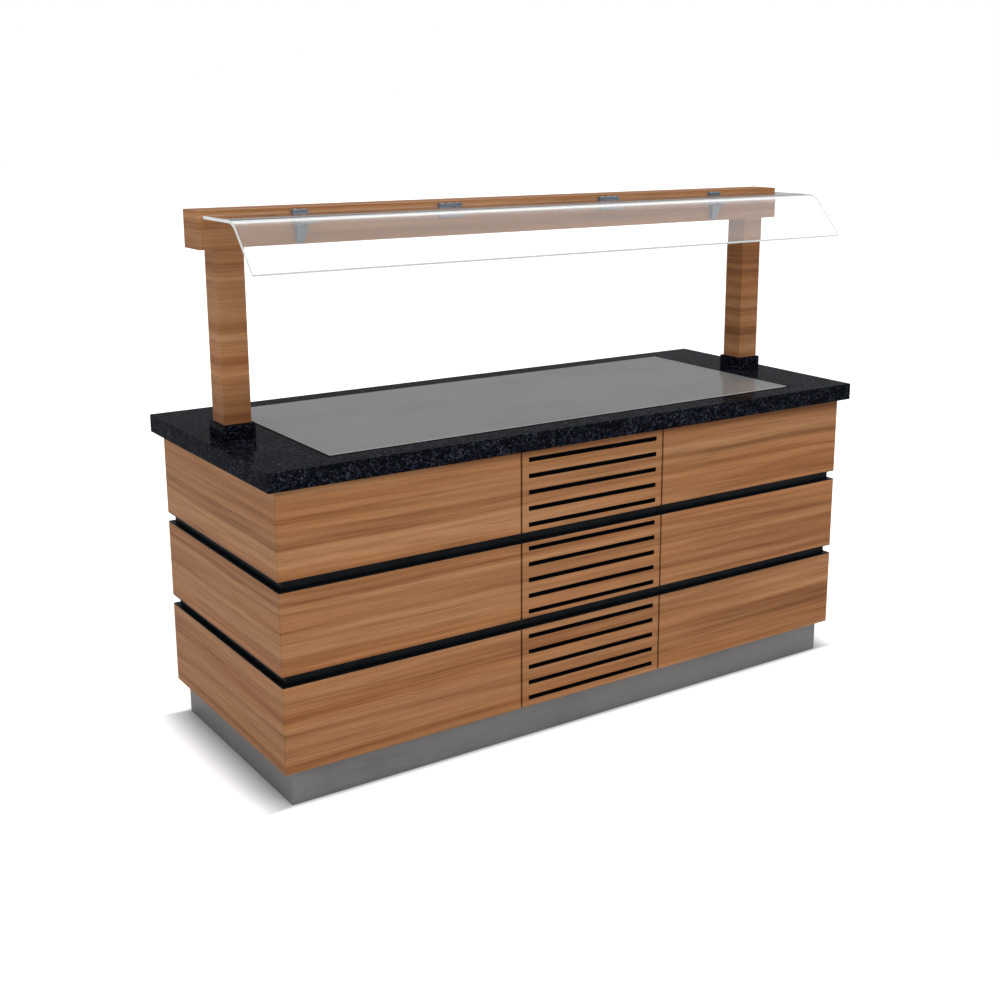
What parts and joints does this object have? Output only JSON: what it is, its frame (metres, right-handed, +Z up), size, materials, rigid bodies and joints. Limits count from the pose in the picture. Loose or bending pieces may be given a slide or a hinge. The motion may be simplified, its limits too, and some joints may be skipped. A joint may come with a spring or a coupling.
{
  "type": "buffet counter with sneeze guard",
  "caption": "Timber-clad buffet counter with a granite worktop, an inset chilled plate and a bent glass sneeze guard hung from a beam on two posts.",
  "frame": {"origin": "on the floor, under the middle of the worktop", "axes": "+X along the counter, to the right as customers see it; +Y from the customer side to the staff side; +Z up"},
  "size_m": [1.99, 0.806, 1.496],
  "materials": {
    "granite": "polished, black with fine grey-blue crystals",
    "veneer": "satin lacquered teak-coloured veneer, fine straight grain running horizontally",
    "clear_glass": "clear tempered glass, polished edges",
    "grey_metal": "satin grey",
    "satin_plate": "satin grey, evenly polished",
    "brushed_steel": "horizontally brushed stainless steel",
    "black_metal": "satin black powder coat",
    "carcass_steel": "plain stainless sheet",
    "tube_steel": "dark grey structural tube",
    "black_rubber": "matt black silicone",
    "white_plastic": "white plastic over insulation",
    "copper": "bare copper tube",
    "fins": "mill-finish aluminium fins",
    "black_shell": "black enamel",
    "black_plastic": "fine-textured black plastic",
    "red_lens": "translucent red lens"
  },
  "bodies": {
    "counter": {"granite_worktop": "granite", "post_block_left": "granite", "post_block_right": "granite", "beam_cladding": "veneer", "beam_end_cap_left": "veneer", "beam_end_cap_right": "veneer", "post_cladding_left": "veneer", "post_cladding_right": "veneer", "front_panel_left_bottom": "veneer", "front_panel_right_bottom": "veneer", "front_panel_left_middle": "veneer", "front_panel_right_middle": "veneer", "front_panel_left_top": "veneer", "front_panel_right_top": "veneer", "end_panel_left_bottom": "veneer", "end_panel_right_bottom": "veneer", "end_panel_left_middle": "veneer", "end_panel_right_middle": "veneer", "end_panel_left_top": "veneer", "end_panel_right_top": "veneer", "front_grille_bottom": "veneer", "front_grille_middle": "veneer", "front_grille_top": "veneer", "rear_top_panel": "veneer", "glass_canopy": "clear_glass", "glass_bracket_left": "grey_metal", "glass_bracket_right": "grey_metal", "glass_clamp_outer_left": "grey_metal", "glass_clamp_outer_right": "grey_metal", "glass_clamp_inner_left": "grey_metal", "glass_clamp_inner_right": "grey_metal", "display_plate": "satin_plate", "plinth_skirt": "brushed_steel", "control_plate": "brushed_steel", "shadow_gap_channel_lower": "black_metal", "shadow_gap_channel_upper": "black_metal", "rear_finger_channel": "black_metal", "carcass_floor": "carcass_steel", "storage_box_left": "carcass_steel", "storage_box_right": "carcass_steel", "bay_front_frame": "carcass_steel", "guard_frame": "tube_steel", "plate_seal": "black_rubber", "insulated_tub": "white_plastic", "cooling_coil": "copper", "condenser": "fins", "compressor": "black_shell", "fan_shroud": "black_shell", "cable_gland": "black_plastic", "pilot_lamp": "red_lens"},
    "storage_door_left": {"storage_door_left": "veneer"},
    "storage_door_right": {"storage_door_right": "veneer"},
    "service_door": {"service_door": "veneer"},
    "thermostat_knob": {"thermostat_knob": "black_plastic"},
    "power_switch": {"power_switch": "black_plastic"},
    "fan_rotor": {"fan_rotor": "black_plastic"},
    "foot_front_left": {"levelling_foot_front_left": "black_plastic"},
    "foot_rear_left": {"levelling_foot_rear_left": "black_plastic"},
    "foot_front_right": {"levelling_foot_front_right": "black_plastic"},
    "foot_rear_right": {"levelling_foot_rear_right": "black_plastic"}
  },
  "joints": [
    {"name": "storage_door_left_hinge", "type": "hinge", "parent": "counter", "child": "storage_door_left", "pos_m": [-0.948, 0.377, 0.34], "axis": [0, 0, 1], "range_deg": [0, 110]},
    {"name": "storage_door_right_hinge", "type": "hinge", "parent": "counter", "child": "storage_door_right", "pos_m": [0.948, 0.377, 0.34], "axis": [0, 0, -1], "range_deg": [0, 110]},
    {"name": "service_door_hinge", "type": "hinge", "parent": "counter", "child": "service_door", "pos_m": [-0.246, 0.377, 0.34], "axis": [0, 0, 1], "range_deg": [0, 110]},
    {"name": "thermostat_turn", "type": "hinge", "parent": "counter", "child": "thermostat_knob", "pos_m": [-0.062, 0.386, 0.732], "axis": [0, -1, 0], "range_deg": [0, 270]},
    {"name": "power_switch_rock", "type": "hinge", "parent": "counter", "child": "power_switch", "pos_m": [0.008, 0.3743, 0.732], "axis": [1, 0, 0], "range_deg": [0, 14]},
    {"name": "fan_spin", "type": "hinge", "parent": "counter", "child": "fan_rotor", "pos_m": [-0.02, -0.262, 0.25262], "axis": [0, 1, 0], "continuous": true},
    {"name": "foot_front_left_screw", "type": "slide", "parent": "counter", "child": "foot_front_left", "axis": [0, 0, -1], "range_m": [0, 0.02]},
    {"name": "foot_rear_left_screw", "type": "slide", "parent": "counter", "child": "foot_rear_left", "axis": [0, 0, -1], "range_m": [0, 0.02]},
    {"name": "foot_front_right_screw", "type": "slide", "parent": "counter", "child": "foot_front_right", "axis": [0, 0, -1], "range_m": [0, 0.02]},
    {"name": "foot_rear_right_screw", "type": "slide", "parent": "counter", "child": "foot_rear_right", "axis": [0, 0, -1], "range_m": [0, 0.02]}
  ]
}
